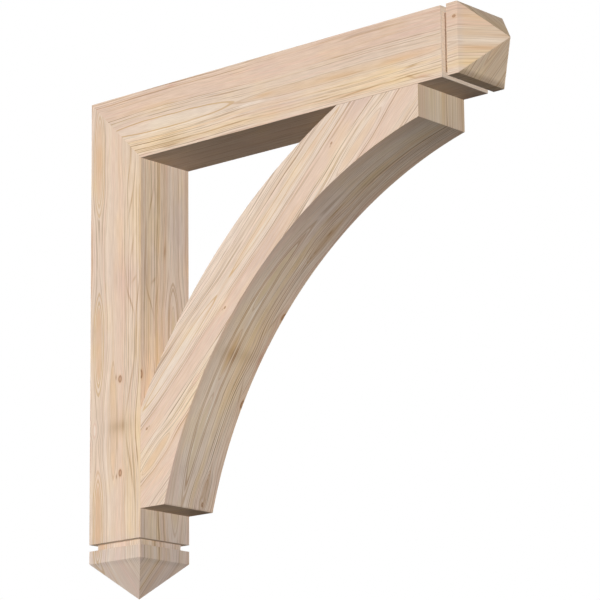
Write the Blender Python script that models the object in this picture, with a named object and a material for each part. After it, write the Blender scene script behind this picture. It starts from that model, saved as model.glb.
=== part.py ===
"""A timber corbel bracket: a wall post and a top beam mitred at the corner, with a curved brace across the
angle and a grooved, pointed tip on each free end.

Metres, +Z up. The wall is the plane Y = 0, behind the post, and the bracket reaches out along -Y. It is
symmetric about X = 0. The origin is the middle of the post's flat back, where it is fastened to the wall.
"""
import math

import bmesh
import bpy
from mathutils import Vector

INCH = 0.0254

# Driving dimensions
TIMBER = 5.5 * INCH  # side of the planed square section, and the brace's thickness
REACH = 40.0 * INCH  # from the wall to the point of the beam's tip
DROP = 40.0 * INCH  # from the beam's top to the point of the post's tip
POINT_LENGTH = TIMBER / 2  # pyramid at a free end, with facets at 45 degrees
BLOCK_LENGTH = 1.0 * INCH  # square block under the pyramid
GROOVE_WIDTH = 0.5 * INCH
GROOVE_DEPTH = 0.0120
BRACE_SPAN = 33.5 * INCH  # from the wall, and from the beam's top, to the brace's square ends
BRACE_NOSE = 2.5 * INCH  # height of those square ends
BRACE_HEEL = 25.7 * INCH  # from the wall, and from the beam's top, to where the inner curve ends
OUTER_RADIUS = 35.75 * INCH  # hollow curve on the brace's open side
INNER_RADIUS = 47.5 * INCH  # flatter curve on the side of the corner
JOINT_GAP = 0.0003  # between two timbers that meet
CURVE_STEPS = 40  # straight steps in each curve of the brace

# Worked out from them
HALF = TIMBER / 2
TIP_LENGTH = GROOVE_WIDTH + BLOCK_LENGTH + POINT_LENGTH
TOP = (DROP - TIP_LENGTH) / 2  # height of the beam's top: the origin halves the post's flat back

WOOD = {"post": (0.560, 0.428, 0.315), "beam": (0.545, 0.415, 0.303), "brace": (0.575, 0.445, 0.332)}


def clear_scene():
    for item in list(bpy.data.objects):
        bpy.data.objects.remove(item, do_unlink=True)


def wood_material(name, colour):
    material = bpy.data.materials.new(name + "_wood")
    material.use_nodes = True
    shader = material.node_tree.nodes["Principled BSDF"]
    shader.inputs["Base Color"].default_value = (*colour, 1.0)
    shader.inputs["Roughness"].default_value = 0.62
    shader.inputs["Metallic"].default_value = 0.0
    return material


def add_part(name, mesh, collection):
    part = bpy.data.objects.new(name, mesh)
    mesh.materials.append(wood_material(name, WOOD[name]))
    collection.objects.link(part)
    return part


def pointed_timber(length):
    """A square timber along +Z from 0, whose far end has a groove all round, a block and a pyramid."""
    shoulder = length - TIP_LENGTH
    block_start = shoulder + GROOVE_WIDTH
    neck_scale = (HALF - GROOVE_DEPTH) / HALF
    shape = bmesh.new()
    bmesh.ops.create_cube(shape, size=TIMBER)
    bmesh.ops.translate(shape, verts=shape.verts, vec=(0, 0, HALF))
    end = [face for face in shape.faces if face.normal.z > 0.9]
    for corner in end[0].verts:
        corner.co.z = shoulder
    stations = (
        (shoulder, neck_scale),
        (block_start, neck_scale),
        (block_start, 1.0),
        (block_start + BLOCK_LENGTH, 1.0),
    )
    for height, scale in stations:
        end = bmesh.ops.extrude_discrete_faces(shape, faces=end)["faces"]
        for corner in end[0].verts:
            corner.co = (
                math.copysign(HALF * scale, corner.co.x),
                math.copysign(HALF * scale, corner.co.y),
                height,
            )
    apex = bmesh.ops.poke(shape, faces=end)["verts"][0]
    apex.co = (0, 0, length)
    return shape


def cut_mitre(shape, outward):
    """Cuts the timber at 45 degrees through the bracket's top corner, half a joint gap short of it."""
    point = Vector((0, 0, TOP)) - outward.normalized() * JOINT_GAP / 2
    everything = list(shape.verts) + list(shape.edges) + list(shape.faces)
    cut = bmesh.ops.bisect_plane(shape, geom=everything, plane_co=point, plane_no=outward, clear_outer=True)
    rim = [item for item in cut["geom_cut"] if isinstance(item, bmesh.types.BMEdge)]
    bmesh.ops.contextual_create(shape, geom=rim)


def finish_mesh(shape, name):
    bmesh.ops.recalc_face_normals(shape, faces=shape.faces)
    mesh = bpy.data.meshes.new(name)
    shape.to_mesh(mesh)
    shape.free()
    return mesh


def make_post(collection):
    """The upright timber, its back on the wall and its top cut at 45 degrees to meet the beam."""
    shape = pointed_timber(DROP)
    for vert in shape.verts:
        vert.co = Vector((vert.co.x, vert.co.y - HALF, TOP - vert.co.z))
    bmesh.ops.reverse_faces(shape, faces=shape.faces)
    cut_mitre(shape, Vector((0, -1, 1)))
    return add_part("post", finish_mesh(shape, "post"), collection)


def make_beam(collection):
    """The level timber that carries the load, from the mitre at the wall out to its tip."""
    shape = pointed_timber(REACH)
    for vert in shape.verts:
        vert.co = Vector((vert.co.x, -vert.co.z, TOP - HALF + vert.co.y))
    cut_mitre(shape, Vector((0, 1, -1)))
    return add_part("beam", finish_mesh(shape, "beam"), collection)


def arc_between(start, end, radius, steps):
    """Points on an arc from start to end, both included, that sags towards the origin of its plane."""
    chord = end - start
    middle = (start + end) / 2
    outward = middle.normalized()
    centre = middle + outward * math.sqrt(radius**2 - (chord.length / 2) ** 2)
    first = start - centre
    turn = first.angle_signed(end - centre)
    points = []
    for step in range(steps + 1):
        angle = -turn * step / steps
        cos, sin = math.cos(angle), math.sin(angle)
        points.append(centre + Vector((cos * first.x - sin * first.y, sin * first.x + cos * first.y)))
    return points


def brace_outline():
    """The brace seen from its side, as points (distance from the wall, distance below the beam's top)."""
    face = TIMBER + JOINT_GAP
    nose = TIMBER + BRACE_NOSE
    outer = arc_between(Vector((nose, BRACE_SPAN)), Vector((BRACE_SPAN, nose)), OUTER_RADIUS, CURVE_STEPS)
    inner = arc_between(Vector((BRACE_HEEL, face)), Vector((face, BRACE_HEEL)), INNER_RADIUS, CURVE_STEPS)
    return [Vector((face, BRACE_SPAN)), *outer, Vector((BRACE_SPAN, face)), *inner]


def make_brace(collection):
    """The curved brace, sawn from one plank and flush with both timbers on each side."""
    outline = bpy.data.curves.new("brace_outline", "CURVE")
    outline.dimensions = "2D"
    outline.fill_mode = "BOTH"
    outline.extrude = HALF
    spline = outline.splines.new("POLY")
    points = brace_outline()
    spline.points.add(len(points) - 1)
    for point, place in zip(spline.points, points):
        point.co = (place.x, place.y, 0, 1)
    spline.use_cyclic_u = True
    guide = bpy.data.objects.new("brace_outline", outline)
    collection.objects.link(guide)
    seen = guide.evaluated_get(bpy.context.evaluated_depsgraph_get())
    shape = bmesh.new()
    shape.from_mesh(bpy.data.meshes.new_from_object(seen))
    bpy.data.objects.remove(guide)
    bmesh.ops.remove_doubles(shape, verts=shape.verts, dist=0.00001)
    for vert in shape.verts:
        vert.co = Vector((vert.co.z, -vert.co.x, TOP - vert.co.y))
    return add_part("brace", finish_mesh(shape, "brace"), collection)


def main():
    clear_scene()
    collection = bpy.data.collections.new("corbel_bracket")
    bpy.context.scene.collection.children.link(collection)
    make_post(collection)
    make_beam(collection)
    make_brace(collection)


main()
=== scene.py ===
"""Looks of the timber corbel bracket: a post and a beam of planed softwood, mitred at the corner,
with a curved brace across the angle and a grooved, pointed tip on each free end.

Metres, +Z up. The wall is the plane Y = 0 and the bracket reaches out along -Y. Each timber is
modelled afresh over its CAD node, with eased edges, and its wood figure is drawn in millimetres on
each face: "along" is the length of the timber and "across" its width.
"""
import math

import bmesh
import bpy
from mathutils import Matrix, Vector


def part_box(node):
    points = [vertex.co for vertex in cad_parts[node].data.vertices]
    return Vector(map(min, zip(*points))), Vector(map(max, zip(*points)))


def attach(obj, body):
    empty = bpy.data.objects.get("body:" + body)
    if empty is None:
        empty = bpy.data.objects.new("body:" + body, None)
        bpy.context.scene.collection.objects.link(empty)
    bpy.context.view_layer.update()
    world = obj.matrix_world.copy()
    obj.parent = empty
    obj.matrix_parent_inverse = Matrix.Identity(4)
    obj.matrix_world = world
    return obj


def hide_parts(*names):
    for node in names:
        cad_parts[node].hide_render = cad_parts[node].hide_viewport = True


INCH = 0.0254
MM = 0.001

# Form, beside what the frame gives
GROOVE_WIDTH = 0.5 * INCH
GROOVE_DEPTH = 0.0120
BLOCK_LENGTH = 1.0 * INCH
BRACE_SPAN = 33.5 * INCH
BRACE_NOSE = 2.5 * INCH
BRACE_HEEL = 25.7 * INCH
OUTER_RADIUS = 35.75 * INCH
INNER_RADIUS = 47.5 * INCH
JOINT_GAP = 0.0003
MITRE_GAP = 0.00006  # the mitre is glued tight
ARRIS = 0.0009  # eased edge of a planed timber
ARC_SIDES = 480  # sides of the full circle that each curve of the brace is cut from
SHARPEST_UNEASED = math.radians(20)  # edges that turn less than this are left as they are
SMOOTH_TURN = math.radians(8)
TOUCHING = 0.0001  # nearer than this, a point counts as lying in a joint

# Camera
CAMERA_PLACE = Vector((-4.27406, -4.18695, -1.40659))
CAMERA_AZIMUTH = math.radians(-49.188)
CAMERA_ELEVATION = math.radians(-13.727)
CAMERA_ROLL = math.radians(-0.644)
CAMERA_LENS = 181.80
SENSOR = 36.0

# Light, as the brightness that it gives a white surface facing it
KEY_LIGHT = 1.005
FRONT_LIGHT = 0.63
REAR_LIGHT = 0.55
FAR_LIGHT = 0.75
ROOM_LIGHT = 0.06
KEY_TURN = math.radians(18.7)  # the key stands this far behind the bracket's near side
FRONT_DROP = math.radians(5)  # the front lamp stands a little low
LAMP_SPREAD = math.radians(25)
FAR_SPREAD = math.radians(6)
FRONT_COLOUR = (0.98, 1.0, 1.03)
REAR_PLACE = Vector((0.15, 0.54, 0.83))
LAMP_DISTANCE = 4.0

# Floor
FLOOR_RADIUS = 2.8
FLOOR_PLACE = (0.0, -0.5, -2.5)
FLOOR_WHITE = (0.92, 0.92, 0.92, 1.0)
WHITE = (1.0, 1.0, 1.0, 1.0)

# Plain colour of the wood, and tones that multiply it
WOOD = (0.724, 0.563, 0.429)
END_WOOD = (0.675, 0.575, 0.475)
PLAIN = (1.0, 1.0, 1.0)
HALO = (1.03, 1.05, 1.06)
PINK = (1.02, 0.972, 0.965)
CREAM = (1.07, 1.10, 1.13)
PALE = (1.10, 1.16, 1.23)
YELLOW = (1.045, 1.025, 0.915)
TAN = (0.965, 0.90, 0.81)
ORANGE = (0.94, 0.81, 0.67)
OLIVE = (0.94, 0.915, 0.80)
BROWN = (0.83, 0.75, 0.66)
UMBER = (0.72, 0.61, 0.50)
OCHRE = (0.82, 0.69, 0.48)
DUSKY = (0.88, 0.86, 0.82)
LILAC = (0.935, 0.935, 0.97)
ROSE = (0.96, 0.84, 0.82)
LATE_WOOD = (0.54, 0.445, 0.355)
EARLY_WOOD = (1.05, 1.06, 1.065)
FIBRE_DARK = (0.92, 0.90, 0.88)
FIBRE_PALE = (1.05, 1.06, 1.07)
KNOT_RIM = (0.55, 0.42, 0.33)
KNOT_HEART = (0.75, 0.62, 0.50)

PARTING = 24.0  # how far beyond an eye, in millimetres, the lines still part round it
EYE_RIM = 1.3  # where an eye's rings end, in its half sizes
TAPER = 0.8  # how fast the parting closes towards an eye's noses
NOSE_FADE = 0.3  # how far an eye's tones fade towards its noses
ROUNDNESS = 1.5  # of an eye's noses: 1 is a pointed lens and 2 nearly round

# Surfaces; roughness is its spread with the relief, then its least value
PLANED = {"roughness": (0.20, 0.52), "gloss": 0.25, "bump_strength": 0.25, "bump_depth": 0.15 * MM}
SAWN = {"roughness": (0.15, 0.66), "gloss": 0.2, "bump_strength": 0.3, "bump_depth": 0.2 * MM}

# Sway of the figure in millimetres, and the scale, along and across, of its soft noises
SWAY = 6.0
RIPPLE = 3.0
SWAY_SCALE = (0.004, 0.009, 1.0)
RIPPLE_SCALE = (0.016, 0.06, 1.0)
MOTTLE_SCALE = (0.008, 0.02, 1.0)
FIBRE_SCALE = (0.03, 0.9, 1.0)
GRAIN_STRETCH = 0.004  # of the noises that follow the growth lines, along the timber
HUE_SCALE = (0.9, 0.13, 1.0)
PATCH_SCALE = (2.2, 0.22, 1.0)
BREAK_SCALE = (1.5, 0.1, 1.0)
DRIFT_STRETCH = 0.0012
DRIFT_YEARS = 3.5  # how many growth lines the spacing wanders by

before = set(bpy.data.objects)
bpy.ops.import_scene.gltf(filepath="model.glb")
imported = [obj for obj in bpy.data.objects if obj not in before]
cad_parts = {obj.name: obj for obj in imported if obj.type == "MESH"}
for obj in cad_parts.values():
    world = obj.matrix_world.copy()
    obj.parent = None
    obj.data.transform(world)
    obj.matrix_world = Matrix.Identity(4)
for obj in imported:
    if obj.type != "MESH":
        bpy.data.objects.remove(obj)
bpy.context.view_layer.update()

# Sizes that the frame gives
post_low, post_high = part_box("post")
beam_low, beam_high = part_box("beam")
TIMBER = post_high.x - post_low.x
HALF = TIMBER / 2
TOP = beam_high.z
DROP = TOP - post_low.z
REACH = -beam_low.y
TIP_LENGTH = GROOVE_WIDTH + BLOCK_LENGTH + HALF


# Making meshes

def select_nothing():
    if bpy.context.object and bpy.context.object.mode == "EDIT":
        bpy.ops.object.mode_set(mode="OBJECT")
    bpy.ops.object.select_all(action="DESELECT")


def pick_piece(piece):
    """Selects the piece alone and makes it the active one."""
    select_nothing()
    piece.select_set(True)
    bpy.context.view_layer.objects.active = piece


def begin_shape(piece):
    pick_piece(piece)
    bpy.ops.object.mode_set(mode="EDIT")


def end_shape():
    bpy.ops.object.mode_set(mode="OBJECT")


def pick_parts(piece, kind, wanted):
    """Selects, in edit mode, the faces or edges for which wanted is true, and nothing else."""
    bpy.ops.mesh.select_mode(type=kind)
    bpy.ops.mesh.select_all(action="DESELECT")
    shape = bmesh.from_edit_mesh(piece.data)
    for part in shape.faces if kind == "FACE" else shape.edges:
        part.select_set(bool(wanted(part)))
    shape.select_flush_mode()
    bmesh.update_edit_mesh(piece.data)


def settle(piece):
    """Puts a piece's place into its mesh, so that the object itself sits at the origin."""
    pick_piece(piece)
    bpy.ops.object.transform_apply(location=True, rotation=True, scale=True)


def ease_edges(piece, joint_plane):
    """Rounds every outer edge a little, apart from those that lie in a joint."""
    def eased(edge):
        if len(edge.link_faces) != 2 or not edge.is_convex:
            return False
        if edge.calc_face_angle(0) < SHARPEST_UNEASED:
            return False
        return not all(joint_plane(vert.co) for vert in edge.verts)

    begin_shape(piece)
    pick_parts(piece, "EDGE", eased)
    bpy.ops.mesh.bevel(offset=ARRIS, offset_type="OFFSET", segments=2, profile=0.5, affect="EDGES")
    end_shape()


def pointed_timber(name, butt, along):
    """A square timber from butt, the middle of one end. Its far end has a groove, a block and a
    pyramid."""
    length = DROP if name == "post" else REACH
    bpy.ops.mesh.primitive_cube_add(size=TIMBER, location=butt + along * HALF)
    timber = bpy.context.object
    timber.name = name + "_timber"
    settle(timber)
    begin_shape(timber)
    pick_parts(timber, "FACE", lambda face: face.normal.dot(along) > 0.9)
    bpy.ops.transform.translate(value=along * (length - TIP_LENGTH - TIMBER))
    bpy.ops.mesh.inset(thickness=GROOVE_DEPTH)
    bpy.ops.mesh.extrude_region_move(TRANSFORM_OT_translate={"value": along * GROOVE_WIDTH})
    bpy.ops.mesh.extrude_region_move(TRANSFORM_OT_translate={"value": (0, 0, 0)})
    wider = TIMBER / (TIMBER - 2 * GROOVE_DEPTH)
    middle = butt + along * (length - HALF - BLOCK_LENGTH)
    bpy.ops.transform.resize(value=(wider, wider, wider), center_override=middle)
    bpy.ops.mesh.extrude_region_move(TRANSFORM_OT_translate={"value": along * BLOCK_LENGTH})
    bpy.ops.mesh.extrude_region_move(TRANSFORM_OT_translate={"value": along * HALF})
    bpy.ops.mesh.merge(type="CENTER")
    bpy.ops.mesh.select_all(action="SELECT")
    bpy.ops.mesh.normals_make_consistent(inside=False)
    end_shape()
    return timber


def cut_mitre(timber, outward):
    """Cuts the timber at 45 degrees through the bracket's top corner, half a hair's gap short of it."""
    point = Vector((0, 0, TOP)) - outward.normalized() * MITRE_GAP / 2
    begin_shape(timber)
    bpy.ops.mesh.select_all(action="SELECT")
    bpy.ops.mesh.bisect(plane_co=point, plane_no=outward, use_fill=True, clear_outer=True)
    end_shape()
    return lambda place: abs((place - point).dot(outward.normalized())) < TOUCHING


def brace_place(distance, depth):
    """A point of the brace's middle plane, from its distance to the wall and its depth below the
    beam's top."""
    return Vector((0, -distance, TOP - depth))


def arc_centre(start, end, radius):
    """Distance and depth, which are equal, of the centre of the arc from start to end that sags to
    the corner."""
    middle = (start + end) / 2
    return middle + middle.normalized() * math.sqrt(radius**2 - ((end - start).length / 2) ** 2)


def cut_with_cylinder(plank, centre, radius, operation):
    bpy.ops.mesh.primitive_cylinder_add(
        vertices=ARC_SIDES,
        radius=radius,
        depth=TIMBER * 2,
        location=brace_place(*centre),
        rotation=(0, math.pi / 2, 0),
    )
    cutter = bpy.context.object
    modifier = plank.modifiers.new("arc", "BOOLEAN")
    modifier.object = cutter
    modifier.operation = operation
    modifier.solver = "EXACT"
    pick_piece(plank)
    bpy.ops.object.modifier_apply(modifier=modifier.name)
    bpy.data.objects.remove(cutter, do_unlink=True)


def curved_brace():
    """A thick plank whose two curves are cut with big circles, and whose ends stand square on the
    timbers."""
    face = TIMBER + JOINT_GAP
    nose = TIMBER + BRACE_NOSE
    middle = (face + BRACE_SPAN) / 2
    side = BRACE_SPAN - face
    bpy.ops.mesh.primitive_cube_add(size=side, location=brace_place(middle, middle))
    plank = bpy.context.object
    plank.name = "brace_timber"
    plank.scale.x = TIMBER / side
    settle(plank)
    outer = arc_centre(Vector((nose, BRACE_SPAN)), Vector((BRACE_SPAN, nose)), OUTER_RADIUS)
    inner = arc_centre(Vector((BRACE_HEEL, face)), Vector((face, BRACE_HEEL)), INNER_RADIUS)
    cut_with_cylinder(plank, outer, OUTER_RADIUS, "DIFFERENCE")
    cut_with_cylinder(plank, inner, INNER_RADIUS, "INTERSECT")
    return plank, outer


def give_woods(piece, woods, kind_of_face):
    """Puts the materials in the piece's slots, and on each face the one that kind_of_face(normal)
    names."""
    names = list(woods)
    piece.data.materials.clear()
    for name in names:
        piece.data.materials.append(woods[name])
    for face in piece.data.polygons:
        face.material_index = names.index(kind_of_face(face.normal))


# Making materials

def add_node(tree, kind, **settings):
    node = tree.nodes.new(kind)
    for name, value in settings.items():
        setattr(node, name, value)
    return node


def feed(tree, socket, value):
    """Links another node's output to the socket, or sets a plain value on it."""
    if isinstance(value, bpy.types.NodeSocket):
        tree.links.new(value, socket)
    else:
        socket.default_value = value


def calc(tree, operation, *values):
    node = add_node(tree, "ShaderNodeMath", operation=operation)
    for socket, value in zip(node.inputs, values):
        feed(tree, socket, value)
    return node.outputs[0]


def vector_calc(tree, operation, *values):
    node = add_node(tree, "ShaderNodeVectorMath", operation=operation)
    for socket, value in zip(node.inputs, values):
        feed(tree, socket, value)
    return node.outputs["Value" if operation == "DOT_PRODUCT" else "Vector"]


def split(tree, vector):
    node = add_node(tree, "ShaderNodeSeparateXYZ")
    feed(tree, node.inputs[0], vector)
    return node.outputs


def join(tree, x, y, z=0.0):
    node = add_node(tree, "ShaderNodeCombineXYZ")
    for socket, value in zip(node.inputs, (x, y, z)):
        feed(tree, socket, value)
    return node.outputs[0]


def fade(tree, value, start, end):
    """0 before start, 1 after end, and smooth between; start may be the higher of the two."""
    node = add_node(tree, "ShaderNodeMapRange", interpolation_type="SMOOTHSTEP")
    for name, number in (("Value", value), ("From Min", start), ("From Max", end)):
        feed(tree, node.inputs[name], number)
    return node.outputs["Result"]


def noise(tree, vector, scale, detail=2.0, roughness=0.5, offset=(0.0, 0.0, 0.0)):
    """Smooth noise about 0.5 whose size in each direction is 1 / scale, in the vector's units."""
    moved = vector_calc(tree, "MULTIPLY_ADD", vector, scale, offset)
    node = add_node(tree, "ShaderNodeTexNoise", noise_dimensions="3D")
    feed(tree, node.inputs["Vector"], moved)
    node.inputs["Scale"].default_value = 1.0
    node.inputs["Detail"].default_value = detail
    node.inputs["Roughness"].default_value = roughness
    return node.outputs["Fac"]


def tint(tree, colour, tone, share=1.0):
    """Multiplies the colour by a tone, as far as share says."""
    node = add_node(tree, "ShaderNodeMix", data_type="RGBA", blend_type="MULTIPLY")
    feed(tree, node.inputs["Factor"], share)
    for name, value in (("A", colour), ("B", tone)):
        linked = isinstance(value, bpy.types.NodeSocket)
        feed(tree, node.inputs[name], value if linked else (*value, 1.0))
    return node.outputs["Result"]


def tones(tree, position, stops, span):
    """Tones along a position that runs from 0 to span; stops are (position, tone), at most 32."""
    node = add_node(tree, "ShaderNodeValToRGB")
    feed(tree, node.inputs[0], calc(tree, "DIVIDE", position, span))
    ramp = node.color_ramp
    ramp.interpolation = "LINEAR"
    first, last = stops[0], stops[-1]
    ramp.elements[0].position = first[0] / span
    ramp.elements[0].color = (*first[1], 1.0)
    ramp.elements[1].position = last[0] / span
    ramp.elements[1].color = (*last[1], 1.0)
    for place, tone in stops[1:-1]:
        ramp.elements.new(place / span).color = (*tone, 1.0)
    return node.outputs["Color"]


# Marks in the wood. Each has its place along and across the face, its half length and its half width.

def turned(tree, point, centre, degrees):
    """The point turned about a mark's centre, so that the mark lies at a slant."""
    if not degrees:
        return point
    node = add_node(tree, "ShaderNodeVectorRotate", rotation_type="Z_AXIS")
    feed(tree, node.inputs["Vector"], point)
    node.inputs["Center"].default_value = (*centre, 0.0)
    node.inputs["Angle"].default_value = math.radians(degrees)
    return node.outputs[0]


def steps_from(tree, point, centre, size):
    """The point's steps from a mark's centre, in half sizes of the mark."""
    away = vector_calc(tree, "SUBTRACT", point, (*centre, 0.0))
    return vector_calc(tree, "DIVIDE", away, (*size, 1.0))


def spot(tree, point, centre, size, degrees=0.0):
    """A soft oval, 1 in the middle."""
    steps = steps_from(tree, turned(tree, point, centre, degrees), centre, size)
    squared = vector_calc(tree, "DOT_PRODUCT", steps, steps)
    return calc(tree, "EXPONENT", calc(tree, "MULTIPLY", squared, -1.0))


def eye(tree, point, centre, size, tail=None, degrees=0.0):
    """A long eye in the figure: the distance from its middle in half sizes, the shift of the lines
    that part round it, how far the point is outside it, and its strength. With a tail it is an
    arch: one nose, and sides that run on and die out."""
    steps = split(tree, steps_from(tree, turned(tree, point, centre, degrees), centre, size))
    ahead = calc(tree, "MAXIMUM" if tail else "ABSOLUTE", steps[0], 0.0)
    strength = calc(tree, "MULTIPLY_ADD", fade(tree, ahead, 0.40, 1.15), -NOSE_FADE, 1.0)
    if tail:
        strength = calc(tree, "MULTIPLY", strength, fade(tree, steps[0], -tail, -0.1 * tail))
    ahead = calc(tree, "POWER", ahead, 2 * ROUNDNESS)
    away = calc(tree, "ABSOLUTE", steps[1])
    distance = calc(tree, "ADD", calc(tree, "POWER", away, ROUNDNESS), ahead)
    distance = calc(tree, "POWER", distance, 1 / ROUNDNESS)
    half = calc(tree, "MULTIPLY", calc(tree, "EXPONENT", calc(tree, "MULTIPLY", ahead, -TAPER)), EYE_RIM)
    beyond = calc(tree, "MAXIMUM", calc(tree, "SUBTRACT", away, half), 0.0)
    reach = calc(tree, "EXPONENT", calc(tree, "MULTIPLY", beyond, -size[1] / PARTING))
    parted = calc(tree, "MULTIPLY", half, calc(tree, "TANH", calc(tree, "DIVIDE", steps[1], half)))
    shift = calc(tree, "MULTIPLY", calc(tree, "MULTIPLY", parted, reach), -size[1])
    outside = fade(tree, distance, EYE_RIM - 0.1, EYE_RIM + 0.1)
    if tail:
        shift = calc(tree, "MULTIPLY", shift, strength)
        outside = calc(tree, "MAXIMUM", outside, calc(tree, "SUBTRACT", 1.0, strength))
    return distance, shift, outside, strength


def knot(tree, colour, point, centre, size):
    """A small round knot with a dark rim and a paler heart."""
    steps = steps_from(tree, point, centre, size)
    distance = calc(tree, "SQRT", vector_calc(tree, "DOT_PRODUCT", steps, steps))
    rings = (
        (0.0, KNOT_HEART), (0.40, KNOT_HEART), (0.75, KNOT_RIM), (1.0, KNOT_RIM),
        (1.3, TAN), (2.0, PLAIN),
    )
    return tint(tree, colour, tones(tree, distance, rings, 2.0))


def dodge(tree, point, centre, size):
    """How far the lines shift across to pass round a knot."""
    steps = steps_from(tree, point, centre, (size[0] * 2.6, size[1] * 3.0))
    squared = vector_calc(tree, "DOT_PRODUCT", steps, steps)
    near = calc(tree, "EXPONENT", calc(tree, "MULTIPLY", squared, -1.0))
    side = split(tree, steps)[1]
    return calc(tree, "MULTIPLY", calc(tree, "MULTIPLY", side, near), -size[1] * 3.2)


def total(tree, start, parts):
    for part in parts:
        start = calc(tree, "ADD", start, part)
    return start


def growth_lines(tree, along, ring, spacing, seed):
    """Where in a year's growth a point lies: 0 in the pale early wood, 1 at the dark line that ends
    the year."""
    slow = join(tree, calc(tree, "MULTIPLY", along, DRIFT_STRETCH), ring)
    drift = noise(tree, slow, (1.0, 0.06, 1.0), detail=1.0, offset=(seed, 0.0, 5.0))
    years = calc(tree, "MULTIPLY_ADD", drift, DRIFT_YEARS, calc(tree, "DIVIDE", ring, spacing))
    return calc(tree, "FRACT", years)


def rings_of(core, core_end, lines, line_tone, ground):
    """An eye's tones outward from its middle: the core, then thin dark lines in wood of the ground's
    tone."""
    stops = [(0.0, core), (core_end - 0.06, core), (core_end + 0.04, ground)]
    for place in lines:
        stops += [(place - 0.13, ground), (place - 0.08, line_tone), (place + 0.04, line_tone)]
        stops.append((place + 0.10, ground))
    return [*stops, (EYE_RIM, PLAIN), (2.0, PLAIN)]


def main_lines(lines):
    """Tones across the face that draw single dark lines; lines are (place, tone), at most seven."""
    stops = []
    for place, tone in lines:
        stops += [(place - 1.7, PLAIN), (place - 0.6, tone), (place + 0.6, tone), (place + 1.3, PLAIN)]
    return stops


ORANGE_EYE = rings_of(ORANGE, 0.64, (0.78, 1.14), OCHRE, HALO)
TAN_EYE = rings_of(TAN, 0.84, (1.0,), BROWN, PLAIN)
CREAM_EYE = rings_of((1.05, 1.09, 1.12), 0.62, (0.97,), OCHRE, HALO)
OLIVE_EYE = rings_of(OLIVE, 0.70, (0.90,), BROWN, HALO)
OUTER_EYE = rings_of(PLAIN, 0.74, (0.92, 1.16), UMBER, HALO)
ROSE_EYE = rings_of(PALE, 0.45, (0.80,), ROSE, PINK)
ARCHES = rings_of(PLAIN, 0.30, (0.45, 0.82, 1.15), BROWN, PLAIN)

# The figure of each face, in millimetres. Places along the timber and tones come in pairs.
# "base": the timber's own tone; "length": painted shade and painted light along the side that is seen,
# changing most near the ends
# "span": where the face's two edges lie across; "profile": the tone from one edge to the other
# "lines": the strongest single lines, at their places across the face
# "spacing" and "lined": how far apart the growth lines are, and how strong they are across the face
# "clear": how clearly both kinds of line show along the timber
# "bends": centre, half size and lift of the places where the lines bow
# "eyes": centre, half size and rings
# "arches": centre, length to the nose and half width, tail in lengths, slant and rings
# "knots": centre and half size
# "streaks": centre, half size, slant in degrees and tone

POST_CHEEK = {
    "base": (1.02, 1.035, 1.06),
    # painted shade: the drop's block is darker and bluer on the seen cheek; painted light: its pyramid
    # is a little paler
    "length": (
        (0, PLAIN), (890, PLAIN), (927, (0.90, 0.94, 1.03)), (953, (0.90, 0.94, 1.03)),
        (955, (0.975, 1.01, 1.085)),
    ),
    "span": (0, 140),
    "spacing": 6.2,
    "profile": (
        (0, PINK), (6, PINK), (10, CREAM), (16, PLAIN), (34, PLAIN), (46, CREAM), (56, PLAIN),
        (88, PINK), (94, PLAIN), (102, HALO), (118, PLAIN), (126, HALO), (134, PLAIN),
        (140, YELLOW),
    ),
    "lines": (
        (3.5, BROWN), (38.5, BROWN), (96, BROWN), (105, BROWN), (127.5, BROWN), (136.5, UMBER),
    ),
    "lined": (
        (0, 0.6), (30, 0.6), (44, 0.4), (50, 0.15), (86, 0.2), (93, 0.7), (130, 0.7), (140, 0.4),
    ),
    "clear": ((0, 1.0), (900, 1.0), (950, 0.8), (962, 0.4), (1020, 0.4)),
    "bends": (((681, 118), (85, 34), 13), ((681, 60), (120, 22), -4), ((225, 112), (60, 16), 3)),
    "eyes": (
        ((126, 23.5), (108, 12), ORANGE_EYE),
        ((506, 24), (98, 12), ORANGE_EYE),
        ((864, 23), (94, 12), ORANGE_EYE),
        ((666, 65), (118, 9), TAN_EYE),
        ((680, 14), (17, 5), ROSE_EYE),
    ),
    "arches": (((112, 101), (-60, 6), 1.6, 0, ARCHES),),
    "knots": (((585, 84.5), (6.5, 4.0)), ((774, 84.5), (6.3, 3.9))),
    "streaks": (
        ((224, 113), (28, 1.8), 12, UMBER),
        ((580, 74), (5, 1.5), 0, KNOT_RIM),
        ((780, 74), (5, 1.5), 0, KNOT_RIM),
        ((682, 76), (90, 1.3), 0, BROWN),
        ((605, 111), (52, 1.8), 12, UMBER),
        ((757, 111), (52, 1.8), -12, UMBER),
        ((680, 84), (19, 34), 0, DUSKY),
        ((680, 80), (10, 22), 0, DUSKY),
        ((680, 92), (12, 2), 0, BROWN),
        ((392, 101), (34, 1.5), -6, BROWN),
        ((432, 112), (26, 1.7), -20, UMBER),
        ((424, 130), (34, 1.7), 7, UMBER),
        ((387, 121), (8, 2.6), 40, BROWN),
        ((322, 116), (26, 2.0), 10, BROWN),
        ((378, 92), (40, 40), 0, LILAC),
        ((390, 100), (60, 30), 0, PINK),
        ((220, 126), (90, 22), 0, YELLOW),
        ((800, 116), (110, 24), 0, YELLOW),
        ((430, 24), (70, 20), 0, LILAC),
    ),
}
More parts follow.
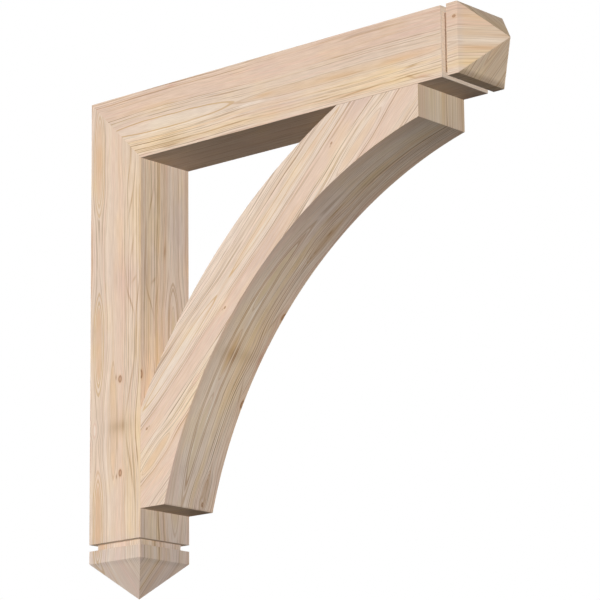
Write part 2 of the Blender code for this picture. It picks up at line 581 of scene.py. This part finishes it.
POST_EDGE = {
    "base": (1.01, 1.048, 1.08),
    # painted shade: the seen front darkens from behind the brace down over the stub and the drop's
    # block; the pyramid is only a little darker
    "length": (
        (0, PLAIN), (700, PLAIN), (850, (0.90, 0.89, 0.90)), (953, (0.866, 0.853, 0.887)),
        (955, (0.98, 0.95, 0.98)),
    ),
    "span": (-70, 70),
    "spacing": 6.0,
    "profile": (
        (-70, TAN), (-62, PLAIN), (-45, YELLOW), (-30, CREAM), (-16, YELLOW), (-6, PLAIN),
        (4, TAN), (12, CREAM), (36, PLAIN), (50, CREAM), (62, PINK), (70, TAN),
    ),
    "lines": (
        (-58, BROWN), (-29, UMBER), (-22, BROWN), (-15, UMBER), (13, BROWN), (39, BROWN),
        (62, BROWN),
    ),
    "lined": ((-70, 0.35), (-50, 0.6), (-8, 0.65), (20, 0.45), (50, 0.45), (70, 0.35)),
    "clear": ((0, 1.0), (950, 1.0), (962, 0.7), (1020, 0.7)),
    "bends": (((322, -12), (60, 22), 5),),
    "eyes": (
        ((487, 24), (96, 13), OUTER_EYE),
        ((490, 24), (62, 6.5), OLIVE_EYE),
        ((800, 28), (100, 12), OLIVE_EYE),
    ),
    "arches": (),
    "knots": (((583, -68), (8, 4)),),
    "streaks": (
        ((226, -41), (28, 1.8), 12, UMBER),
        ((322, -1), (14, 2.0), 0, UMBER),
        ((392, -53), (34, 1.5), -6, BROWN),
        ((432, -42), (26, 1.7), -20, UMBER),
        ((424, -24), (34, 1.7), 7, UMBER),
        ((387, -33), (8, 2.6), 40, BROWN),
        ((376, -50), (40, 26), 0, LILAC),
        ((260, 35), (70, 28), 0, LILAC),
    ),
}
BEAM_CHEEK = {
    "base": (1.0, 1.012, 1.035),
    # painted light: the tip's pyramid is a little lighter and warmer on the seen cheek
    "length": ((0, PLAIN), (940, (0.99, 0.985, 0.985)), (953, PLAIN), (955, (1.035, 1.005, 0.935))),
    "span": (0, 140),
    "spacing": 5.6,
    "profile": (
        (0, CREAM), (9, PINK), (22, PINK), (47, PINK), (56, HALO), (66, PLAIN), (84, HALO),
        (90, CREAM), (96, YELLOW), (102, CREAM), (122, YELLOW), (132, CREAM), (140, PINK),
    ),
    "lines": ((4, BROWN), (13, BROWN), (51, BROWN), (60, BROWN), (105, UMBER), (119, UMBER)),
    "lined": (
        (0, 0.8), (20, 0.6), (27, 0.12), (46, 0.2), (50, 0.8), (90, 0.7), (96, 1.0), (130, 1.0),
        (140, 0.6),
    ),
    "clear": (
        (0, 1.0), (400, 1.0), (450, 0.35), (570, 0.35), (620, 0.7), (940, 0.6), (960, 0.45),
        (1020, 0.45),
    ),
    "bends": (((700, 5), (200, 40), 7), ((560, 30), (150, 40), -3)),
    "eyes": (
        ((214, 78), (176, 13), CREAM_EYE),
        ((670, 81), (275, 9.5), TAN_EYE),
    ),
    "arches": (),
    "knots": (((939, 30), (3.4, 2.4)),),
    "streaks": (
        ((222, 7), (14, 3), 0, ROSE),
        ((222, 122), (26, 20), 0, DUSKY),
        ((222, 131), (22, 2.4), 0, BROWN),
        ((428, 90), (50, 3.0), 0, PALE),
        ((230, 94), (150, 2.6), 0, PALE),
        ((470, 80), (26, 4.0), 0, TAN),
        ((655, 83), (60, 4.0), 0, TAN),
        ((690, 86), (34, 1.4), 0, BROWN),
        ((800, 83), (50, 4.0), 0, TAN),
        ((700, 125), (60, 1.6), 4, UMBER),
        ((836, 124), (14, 2.2), -24, BROWN),
        ((868, 131), (24, 2.0), -8, BROWN),
        ((300, 134), (18, 2.0), 0, ROSE),
        ((150, 136), (18, 2.0), 0, ROSE),
        ((863, 128), (14, 3), 0, ROSE),
        ((836, 103), (14, 2.0), 5, UMBER),
        ((210, 108), (110, 24), 0, YELLOW),
        ((740, 110), (130, 24), 0, YELLOW),
        ((505, 112), (75, 24), 0, LILAC),
        ((505, 112), (60, 20), 0, PINK),
        ((760, 28), (150, 30), 0, LILAC),
        ((985, 78), (44, 4.0), 0, PALE),
        ((975, 92), (44, 4.5), 0, ORANGE),
        ((970, 117), (40, 9), 0, YELLOW),
    ),
}
BEAM_EDGE = {
    "base": PLAIN,
    # painted shade darkens the beam's seen underside, bluer near the wall and warmer towards the tip;
    # painted light brightens the tip pyramid's lower facet
    "length": (
        (0, (0.735, 0.765, 0.80)), (780, (0.735, 0.765, 0.80)), (860, (0.765, 0.755, 0.76)),
        (927, (0.765, 0.755, 0.76)), (930, (0.80, 0.765, 0.70)), (953, (0.80, 0.765, 0.70)),
        (955, (1.165, 1.145, 1.055)),
    ),
    "span": (-70, 70),
    "spacing": 6.5,
    "profile": ((-70, DUSKY), (-60, PLAIN), (-30, HALO), (0, PLAIN), (44, HALO), (70, PLAIN)),
    "lines": ((-42, BROWN), (-11, BROWN), (19, BROWN), (45, BROWN)),
    "lined": ((-70, 0.4), (-30, 0.6), (0, 0.35), (40, 0.6), (70, 0.4)),
    "clear": ((0, 1.0), (1020, 1.0)),
    "bends": (((520, -20), (90, 30), 5),),
    "eyes": (((1090, -18), (120, 11), TAN_EYE),),
    "arches": (((780, 34), (50, 9), 1.6, 0, ARCHES),),
    "knots": (),
    "streaks": (((520, 30), (24, 2), 0, UMBER), ((1362, 0), (36, 110), 0, (0.98, 0.94, 0.80))),
}
BRACE_CHEEK = {
    "base": (1.02, 1.045, 1.09),
    "length": ((-480, PLAIN), (480, PLAIN)),
    "span": (530, 750),
    "spacing": 5.2,
    "profile": (
        (530, CREAM), (545, PLAIN), (552, CREAM), (560, PLAIN), (576, CREAM), (592, PINK),
        (621, PINK), (628, CREAM), (645, HALO), (655, CREAM), (668, PINK), (700, PINK),
        (712, PLAIN), (750, PLAIN),
    ),
    "lines": (
        (541, BROWN), (550, UMBER), (583, UMBER), (591, BROWN), (627, UMBER), (643, BROWN),
        (670, UMBER),
    ),
    "lined": (
        (530, 0.9), (552, 0.8), (560, 0.4), (576, 0.4), (582, 1.0), (592, 0.7), (597, 0.08),
        (620, 0.08), (626, 1.0), (646, 0.9), (668, 0.8), (675, 0.15), (704, 0.15), (720, 0.7),
        (750, 0.5),
    ),
    "clear": ((-490, 1.0), (490, 1.0)),
    "bends": (((-100, 640), (120, 24), 3),),
    "eyes": (
        ((-222, 568), (140, 9.5), CREAM_EYE),
        ((165, 568), (200, 7.5), CREAM_EYE),
        ((-402, 657), (52, 8), TAN_EYE),
        ((342, 658), (78, 9), TAN_EYE),
    ),
    "arches": (),
    "knots": (((-381, 602), (2.6, 1.7)), ((-86, 602), (2.6, 1.7)), ((302, 602), (2.6, 1.7))),
    "streaks": (
        ((-374, 604), (3, 1.2), 0, UMBER),
        ((-92, 600), (3, 1.2), 0, UMBER),
        ((296, 604), (3, 1.2), 0, UMBER),
        ((-233, 641), (17, 4.5), 0, ROSE),
        ((-233, 641), (8, 2.0), 0, PALE),
        ((265, 567), (50, 5), 0, ORANGE),
        ((-30, 568), (60, 2.4), 0, TAN),
        ((60, 566), (60, 2.0), 0, ORANGE),
        ((-120, 571), (50, 1.6), 0, ORANGE),
        ((-240, 655), (150, 20), 0, YELLOW),
        ((60, 610), (70, 20), 0, LILAC),
        ((400, 600), (50, 24), 0, LILAC),
    ),
}
BRACE_EDGE = {
    "base": (1.08, 1.08, 1.06),
    # painted shade and painted light along the seen curve: darker on the end under the beam, much darker
    # on the foot against the post, lighter and darker stretches between
    "length": (
        (-1, (0.825, 0.83, 0.79)), (1, (0.86, 0.865, 0.88)), (130, (0.955, 0.965, 0.985)),
        (300, (0.905, 0.89, 0.92)), (420, (0.98, 0.99, 1.025)), (620, (1.02, 1.0, 0.985)),
        (790, (1.0, 1.01, 1.01)), (900, (0.905, 0.92, 0.975)), (959, (0.905, 0.92, 0.975)),
        (961, (0.632, 0.61, 0.585)),
    ),
    "span": (-70, 70),
    "spacing": 5.4,
    "profile": (
        (-70, TAN), (-64, PINK), (-44, PLAIN), (-36, CREAM), (-8, CREAM), (4, YELLOW),
        (14, PLAIN), (20, CREAM), (36, PLAIN), (48, CREAM), (60, PINK), (70, TAN),
    ),
    "lines": (
        (-5, BROWN), (17, UMBER), (22.5, BROWN), (28, UMBER), (34, BROWN), (50, BROWN), (58, BROWN),
    ),
    "lined": (
        (-70, 0.2), (-46, 0.25), (-38, 0.7), (-12, 0.4), (-4, 0.8), (12, 0.7), (34, 1.0),
        (54, 0.8), (70, 0.5),
    ),
    "clear": ((-60, 0.5), (-2, 0.5), (2, 1.0), (955, 1.0)),
    "bends": (((632, 44), (58, 24), -10), ((300, 20), (90, 30), -4)),
    "eyes": (
        ((642, -21.5), (290, 14), OUTER_EYE),
        ((464, -21.5), (88, 9), OLIVE_EYE),
        ((645, -21.5), (58, 7.5), OLIVE_EYE),
        ((822, -21.5), (98, 9), OLIVE_EYE),
    ),
    "arches": (((356, 37), (60, 9), 1.8, 0, ARCHES), ((925, 36), (-42, 8), 1.6, 0, ARCHES)),
    "knots": (((948, 36), (4, 2.6)), ((545, 68), (7, 4)), ((738, 68), (7, 4))),
    "streaks": (
        ((290, 5), (26, 2.2), 0, UMBER),
        ((344, 36), (8, 2.4), 0, UMBER),
        ((560, 50), (26, 1.8), 12, UMBER),
        ((716, 50), (26, 1.8), -12, UMBER),
        ((640, 62), (14, 5), 0, ROSE),
        ((643, 0), (15, 60), 0, DUSKY),
        ((645, -5), (22, 1.8), 0, KNOT_HEART),
        ((645, -8.5), (20, 1.5), 0, KNOT_HEART),
        ((645, -15), (26, 1.3), 0, UMBER),
        ((640, -21), (40, 9), 0, ORANGE),
        ((600, 16), (120, 20), 0, YELLOW),
        ((560, -13), (70, 1.8), 0, PALE),
        ((500, -30), (70, 1.8), 0, PALE),
        ((700, -29), (80, 1.8), 0, PALE),
        ((790, -13), (70, 1.8), 0, PALE),
        ((870, -28), (60, 1.8), 0, PALE),
        ((590, 9), (110, 1.9), 0, PALE),
        ((450, 25), (90, 1.9), 0, PALE),
        ((760, 12), (100, 1.9), 0, PALE),
        ((820, 31), (90, 1.9), 0, PALE),
        ((300, -12), (90, 1.8), 0, PALE),
        ((240, 28), (90, 1.8), 0, PALE),
        ((185, 8), (46, 10), 0, OLIVE),
        ((-24, -30), (22, 6), 0, OLIVE),
        ((-24, -10), (22, 7), 0, CREAM),
        ((-24, 10), (22, 5), 0, TAN),
        ((-24, 30), (22, 9), 0, CREAM),
        ((-24, 58), (22, 8), 0, DUSKY),
    ),
}


# Where along and across lie on each kind of face, in millimetres

FAR_SHIFT = 370.0  # the far cheek and the hidden edges show the same log further on
LENGTH_START = 500.0  # the tones along a timber run from this far before its start
LENGTH_SPAN = 1600.0
ROOT_TWO = math.sqrt(2)


def from_wall(tree, place):
    return calc(tree, "MULTIPLY", place[1], -1 / MM)


def below_top(tree, place):
    return calc(tree, "MULTIPLY_ADD", place[2], -1 / MM, TOP / MM)


def sideways(tree, place):
    return calc(tree, "MULTIPLY", place[0], 1 / MM)


def cheek_grid(tree, place, timber):
    """Along, across, and 1 for hidden or 0 for seen, on the two flat sides that face -X and +X."""
    distance, depth = from_wall(tree, place), below_top(tree, place)
    if timber == "post":
        along, across = depth, distance
    elif timber == "beam":
        along, across = distance, depth
    else:
        along = calc(tree, "DIVIDE", calc(tree, "SUBTRACT", distance, depth), ROOT_TWO)
        across = calc(tree, "DIVIDE", calc(tree, "ADD", distance, depth), ROOT_TWO)
    return along, across, calc(tree, "GREATER_THAN", place[0], 0.0)


def edge_grid(tree, place, timber, arc_middle):
    """Along, across, and 1 for hidden or 0 for seen, on the faces between the cheeks: front, back,
    top and under."""
    distance, depth = from_wall(tree, place), below_top(tree, place)
    across = sideways(tree, place)
    if timber == "post":
        return depth, across, calc(tree, "LESS_THAN", distance, HALF / MM)
    if timber == "beam":
        return distance, across, calc(tree, "LESS_THAN", depth, HALF / MM)
    inward = calc(tree, "SUBTRACT", arc_middle.x / MM, distance)
    upward = calc(tree, "SUBTRACT", arc_middle.y / MM, depth)
    first = math.atan2(arc_middle.y - TIMBER - BRACE_NOSE, arc_middle.x - BRACE_SPAN)
    turn = calc(tree, "SUBTRACT", first, calc(tree, "ARCTAN2", upward, inward))
    along = calc(tree, "MULTIPLY", turn, OUTER_RADIUS / MM)
    radius = vector_calc(tree, "DOT_PRODUCT", join(tree, inward, upward), join(tree, inward, upward))
    return along, across, calc(tree, "GREATER_THAN", radius, ((OUTER_RADIUS + 0.08) / MM) ** 2)


def lengthwise(tree, along, stops):
    """Tones along a timber; stops are (place, tone)."""
    stops = [(place + LENGTH_START, tone) for place, tone in stops]
    return tones(tree, calc(tree, "ADD", along, LENGTH_START), stops, LENGTH_SPAN)


def draw_figure(tree, along, across, figure, seed):
    """The wood's colour from its figure."""
    flat = join(tree, along, across)
    sway = noise(tree, flat, SWAY_SCALE, detail=1.0, offset=(seed, 0.0, 0.0))
    ripple = noise(tree, flat, RIPPLE_SCALE, detail=2.0, offset=(0.0, seed, 0.0))
    shift = calc(tree, "MULTIPLY", calc(tree, "SUBTRACT", sway, 0.5), SWAY)
    shift = calc(tree, "MULTIPLY_ADD", calc(tree, "SUBTRACT", ripple, 0.5), RIPPLE, shift)
    swayed = calc(tree, "ADD", across, shift)
    point = join(tree, along, swayed)

    lifts = []
    for centre, size, lift in figure["bends"]:
        lifts.append(calc(tree, "MULTIPLY", spot(tree, point, centre, size), lift))
    lifts += [dodge(tree, point, centre, size) for centre, size in figure["knots"]]
    openings = [(*eye(tree, point, centre, size), rings) for centre, size, rings in figure["eyes"]]
    openings += [
        (*eye(tree, point, centre, size, tail, degrees), rings)
        for centre, size, tail, degrees, rings in figure["arches"]
    ]
    lifts += [opening[1] for opening in openings]
    ring = total(tree, swayed, lifts)

    low, high = figure["span"]
    width = high - low
    from_edge = calc(tree, "SUBTRACT", ring, float(low))
    profile = [(place - low, tone) for place, tone in figure["profile"]]
    bands = tones(tree, from_edge, profile, width)
    lined = [(place - low, (share,) * 3) for place, share in figure["lined"]]
    lined = tones(tree, from_edge, lined, width)

    grain = join(tree, calc(tree, "MULTIPLY", along, GRAIN_STRETCH), ring)
    plain = tuple(wood_part * base_part for wood_part, base_part in zip(WOOD, figure["base"]))
    colour = tint(tree, plain, bands)
    mottle = noise(tree, flat, MOTTLE_SCALE, detail=2.0, offset=(seed, 2.0, 4.0))
    colour = tint(tree, colour, LILAC, calc(tree, "MULTIPLY", fade(tree, mottle, 0.50, 0.68), 0.5))
    colour = tint(tree, colour, YELLOW, calc(tree, "MULTIPLY", fade(tree, mottle, 0.48, 0.32), 0.6))
    hue = noise(tree, grain, HUE_SCALE, detail=2.0, offset=(seed, 7.0, 0.0))
    colour = tint(tree, colour, TAN, calc(tree, "MULTIPLY", fade(tree, hue, 0.52, 0.66), 0.65))
    colour = tint(tree, colour, PINK, calc(tree, "MULTIPLY", fade(tree, hue, 0.48, 0.36), 0.85))

    year = growth_lines(tree, along, ring, figure["spacing"], seed)
    patchy = noise(tree, grain, PATCH_SCALE, detail=2.0, offset=(5.0, seed, 9.0))
    shown = calc(tree, "MULTIPLY", lined, fade(tree, patchy, 0.36, 0.60))
    clear = lengthwise(tree, along, [(place, (share,) * 3) for place, share in figure["clear"]])
    shown = calc(tree, "MULTIPLY", shown, clear)
    for _, _, outside, _, _ in openings:
        shown = calc(tree, "MULTIPLY", shown, outside)
    late = calc(tree, "MULTIPLY", fade(tree, year, 0.58, 0.82), fade(tree, year, 1.0, 0.92))
    colour = tint(tree, colour, LATE_WOOD, calc(tree, "MULTIPLY", late, shown))
    early = calc(tree, "MULTIPLY", fade(tree, year, 0.45, 0.15), shown)
    colour = tint(tree, colour, EARLY_WOOD, early)
    broken = noise(tree, grain, BREAK_SCALE, detail=2.0, offset=(seed, 9.0, 2.0))
    broken = fade(tree, broken, 0.35, 0.5)
    strong = [(place - low, tone) for place, tone in main_lines(figure["lines"])]
    strong = tones(tree, from_edge, [(0.0, PLAIN), *strong, (width, PLAIN)], width)
    colour = tint(tree, colour, strong, calc(tree, "MULTIPLY", broken, clear))

    worn = calc(tree, "MULTIPLY_ADD", broken, 0.3, 0.7)
    for distance, _, _, strength, rings in openings:
        share = calc(tree, "MULTIPLY", strength, worn)
        colour = tint(tree, colour, tones(tree, distance, rings, 2.0), share)
    for centre, size, degrees, tone in figure["streaks"]:
        colour = tint(tree, colour, tone, spot(tree, point, centre, size, degrees))
    for centre, size in figure["knots"]:
        colour = knot(tree, colour, point, centre, size)
    return colour


def begin_wood(name):
    """A new material, its nodes, and the point of the piece as X, Y and Z."""
    material = bpy.data.materials.new(name)
    material.use_nodes = True
    tree = material.node_tree
    place = split(tree, add_node(tree, "ShaderNodeTexCoord").outputs["Object"])
    return material, tree, place


def end_wood(tree, colour, relief, roughness, gloss, bump_strength, bump_depth):
    """Gives the shader its colour and gloss, and takes its roughness and bump from the relief."""
    shader = tree.nodes["Principled BSDF"]
    feed(tree, shader.inputs["Base Color"], colour)
    feed(tree, shader.inputs["Roughness"], calc(tree, "MULTIPLY_ADD", relief, *roughness))
    shader.inputs["Specular IOR Level"].default_value = gloss
    bump = add_node(tree, "ShaderNodeBump")
    bump.inputs["Strength"].default_value = bump_strength
    bump.inputs["Distance"].default_value = bump_depth
    feed(tree, bump.inputs["Height"], relief)
    feed(tree, shader.inputs["Normal"], bump.outputs["Normal"])


def wood(timber, face, figure, seed, arc_middle=None):
    """Planed bare softwood with the given figure, on a timber's cheeks or edges, with painted shade and
    painted light along the side that is seen.
    """
    material, tree, place = begin_wood(timber + "_" + face)
    if face == "cheek":
        along, across, hidden = cheek_grid(tree, place, timber)
    else:
        along, across, hidden = edge_grid(tree, place, timber, arc_middle)
    further = calc(tree, "MULTIPLY_ADD", hidden, FAR_SHIFT, along)
    colour = draw_figure(tree, further, across, figure, seed)
    seen = calc(tree, "SUBTRACT", 1.0, hidden)
    # painted shade and painted light from the figure's "length" stops, on the seen faces only
    colour = tint(tree, colour, lengthwise(tree, along, figure["length"]), seen)
    flat = join(tree, further, across)
    fibre = noise(tree, flat, FIBRE_SCALE, detail=3.0, offset=(seed, seed, 0.0))
    colour = tint(tree, colour, FIBRE_DARK, fade(tree, fibre, 0.42, 0.66))
    colour = tint(tree, colour, FIBRE_PALE, fade(tree, fibre, 0.50, 0.34))
    end_wood(tree, colour, fibre, **PLANED)
    return material


def end_grain(name, seed):
    """Sawn end of a timber: growth rings about a pith that lies outside it, a little duller than its
    faces."""
    material, tree, place = begin_wood(name)
    across = sideways(tree, place)
    inward = calc(tree, "ADD", from_wall(tree, place), below_top(tree, place))
    steps = vector_calc(tree, "SUBTRACT", join(tree, across, inward), (18.0 + seed, -60.0, 0.0))
    radius = calc(tree, "SQRT", vector_calc(tree, "DOT_PRODUCT", steps, steps))
    rings = noise(tree, join(tree, radius, seed), (0.35, 1.0, 1.0), detail=2.0)
    mottle = noise(tree, join(tree, across, inward), (0.25, 0.25, 1.0), detail=3.0)
    colour = tint(tree, END_WOOD, TAN, fade(tree, rings, 0.45, 0.65))
    colour = tint(tree, colour, FIBRE_DARK, fade(tree, mottle, 0.35, 0.7))
    end_wood(tree, colour, mottle, **SAWN)
    return material


# Pieces

def dress(piece, node):
    """Finishes a timber: smooth curves, in its place on the frame."""
    pick_piece(piece)
    bpy.ops.object.shade_smooth_by_angle(angle=SMOOTH_TURN)
    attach(piece, "root")
    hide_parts(node)


def face_kinds(along):
    """Tells cheeks, edges and sawn ends of a timber apart by a face's normal."""
    def kind(normal):
        if abs(normal.dot(along)) > 0.95:
            return "end"
        other = Vector((1, 0, 0)).cross(along)
        return "cheek" if abs(normal.x) > abs(normal.dot(other)) else "edge"
    return kind


def make_square_timber(node, butt, along, mitre_way, figures, seeds):
    """The post or the beam. mitre_way points out of the timber through its mitre."""
    timber = pointed_timber(node, butt, along)
    in_mitre = cut_mitre(timber, mitre_way)
    woods = {
        "cheek": wood(node, "cheek", figures[0], seeds[0]),
        "edge": wood(node, "edge", figures[1], seeds[1]),
        "end": end_grain(node + "_end", seeds[2]),
    }
    give_woods(timber, woods, face_kinds(along))
    ease_edges(timber, in_mitre)
    dress(timber, node)


def make_brace():
    plank, arc_middle = curved_brace()
    face = TIMBER + JOINT_GAP
    woods = {
        "cheek": wood("brace", "cheek", BRACE_CHEEK, 43.0),
        "edge": wood("brace", "edge", BRACE_EDGE, 57.0, arc_middle),
    }
    give_woods(plank, woods, lambda normal: "cheek" if abs(normal.x) > 0.7 else "edge")

    def on_a_timber(place):
        return abs(-place.y - face) < TOUCHING or abs(TOP - place.z - face) < TOUCHING

    ease_edges(plank, on_a_timber)
    dress(plank, "brace")


# Room, light and camera

def make_floor():
    bpy.ops.mesh.primitive_circle_add(
        vertices=128, radius=FLOOR_RADIUS, fill_type="NGON", location=FLOOR_PLACE
    )
    floor = bpy.context.object
    floor.name = "floor"
    settle(floor)
    material = bpy.data.materials.new("pale_floor")
    material.use_nodes = True
    shader = material.node_tree.nodes["Principled BSDF"]
    shader.inputs["Base Color"].default_value = FLOOR_WHITE
    shader.inputs["Roughness"].default_value = 0.9
    shader.inputs["Emission Color"].default_value = WHITE
    shader.inputs["Emission Strength"].default_value = 1.0
    floor.data.materials.append(material)
    floor.visible_diffuse = False
    floor.visible_glossy = False


def add_lamp(name, towards, brightness, spread, colour=(1.0, 1.0, 1.0), shadow=True):
    """A broad far lamp. towards is the direction from the bracket to the lamp."""
    lamp = bpy.data.lights.new(name, "SUN")
    lamp.energy = brightness * math.pi
    lamp.angle = spread
    lamp.color = colour
    lamp.use_shadow = shadow
    holder = bpy.data.objects.new(name, lamp)
    bpy.context.scene.collection.objects.link(holder)
    holder.location = towards.normalized() * LAMP_DISTANCE
    holder.rotation_euler = towards.to_track_quat("Z", "Y").to_euler()


def light_room():
    key = Vector((-math.cos(KEY_TURN), math.sin(KEY_TURN), 0))
    front = Vector((0, -math.cos(FRONT_DROP), -math.sin(FRONT_DROP)))
    add_lamp("key", key, KEY_LIGHT, LAMP_SPREAD)
    add_lamp("front", front, FRONT_LIGHT, LAMP_SPREAD, FRONT_COLOUR, False)
    add_lamp("rear", REAR_PLACE, REAR_LIGHT, LAMP_SPREAD)
    add_lamp("far", Vector((1, 0, 0)), FAR_LIGHT, FAR_SPREAD)
    room = bpy.data.worlds.new("pale_room")
    bpy.context.scene.world = room
    room.use_nodes = True
    tree = room.node_tree
    seen = tree.nodes["Background"]
    light = add_node(tree, "ShaderNodeLightPath")
    seen.inputs["Color"].default_value = WHITE
    strength = calc(tree, "MAXIMUM", light.outputs["Is Camera Ray"], ROOM_LIGHT)
    feed(tree, seen.inputs["Strength"], strength)
    bpy.context.scene.view_settings.view_transform = "Standard"


def place_camera():
    turn, lift = CAMERA_AZIMUTH, CAMERA_ELEVATION
    back = Vector((math.sin(turn) * math.cos(lift), -math.cos(turn) * math.cos(lift), math.sin(lift)))
    right = Vector((0, 0, 1)).cross(back).normalized()
    up = back.cross(right)
    level = Matrix((right, up, back)).transposed()
    camera = bpy.data.cameras.new("camera")
    camera.lens = CAMERA_LENS
    camera.sensor_width = SENSOR
    holder = bpy.data.objects.new("camera", camera)
    bpy.context.scene.collection.objects.link(holder)
    holder.location = CAMERA_PLACE
    holder.rotation_mode = "QUATERNION"
    holder.rotation_quaternion = (level @ Matrix.Rotation(CAMERA_ROLL, 3, "Z")).to_quaternion()
    bpy.context.scene.camera = holder


select_nothing()
make_square_timber(
    "post", Vector((0, -HALF, TOP)), Vector((0, 0, -1)), Vector((0, -1, 1)),
    (POST_CHEEK, POST_EDGE), (3.0, 11.0, 4.0),
)
make_square_timber(
    "beam", Vector((0, 0, TOP - HALF)), Vector((0, -1, 0)), Vector((0, 1, -1)),
    (BEAM_CHEEK, BEAM_EDGE), (23.0, 31.0, 9.0),
)
make_brace()
make_floor()
light_room()
place_camera()
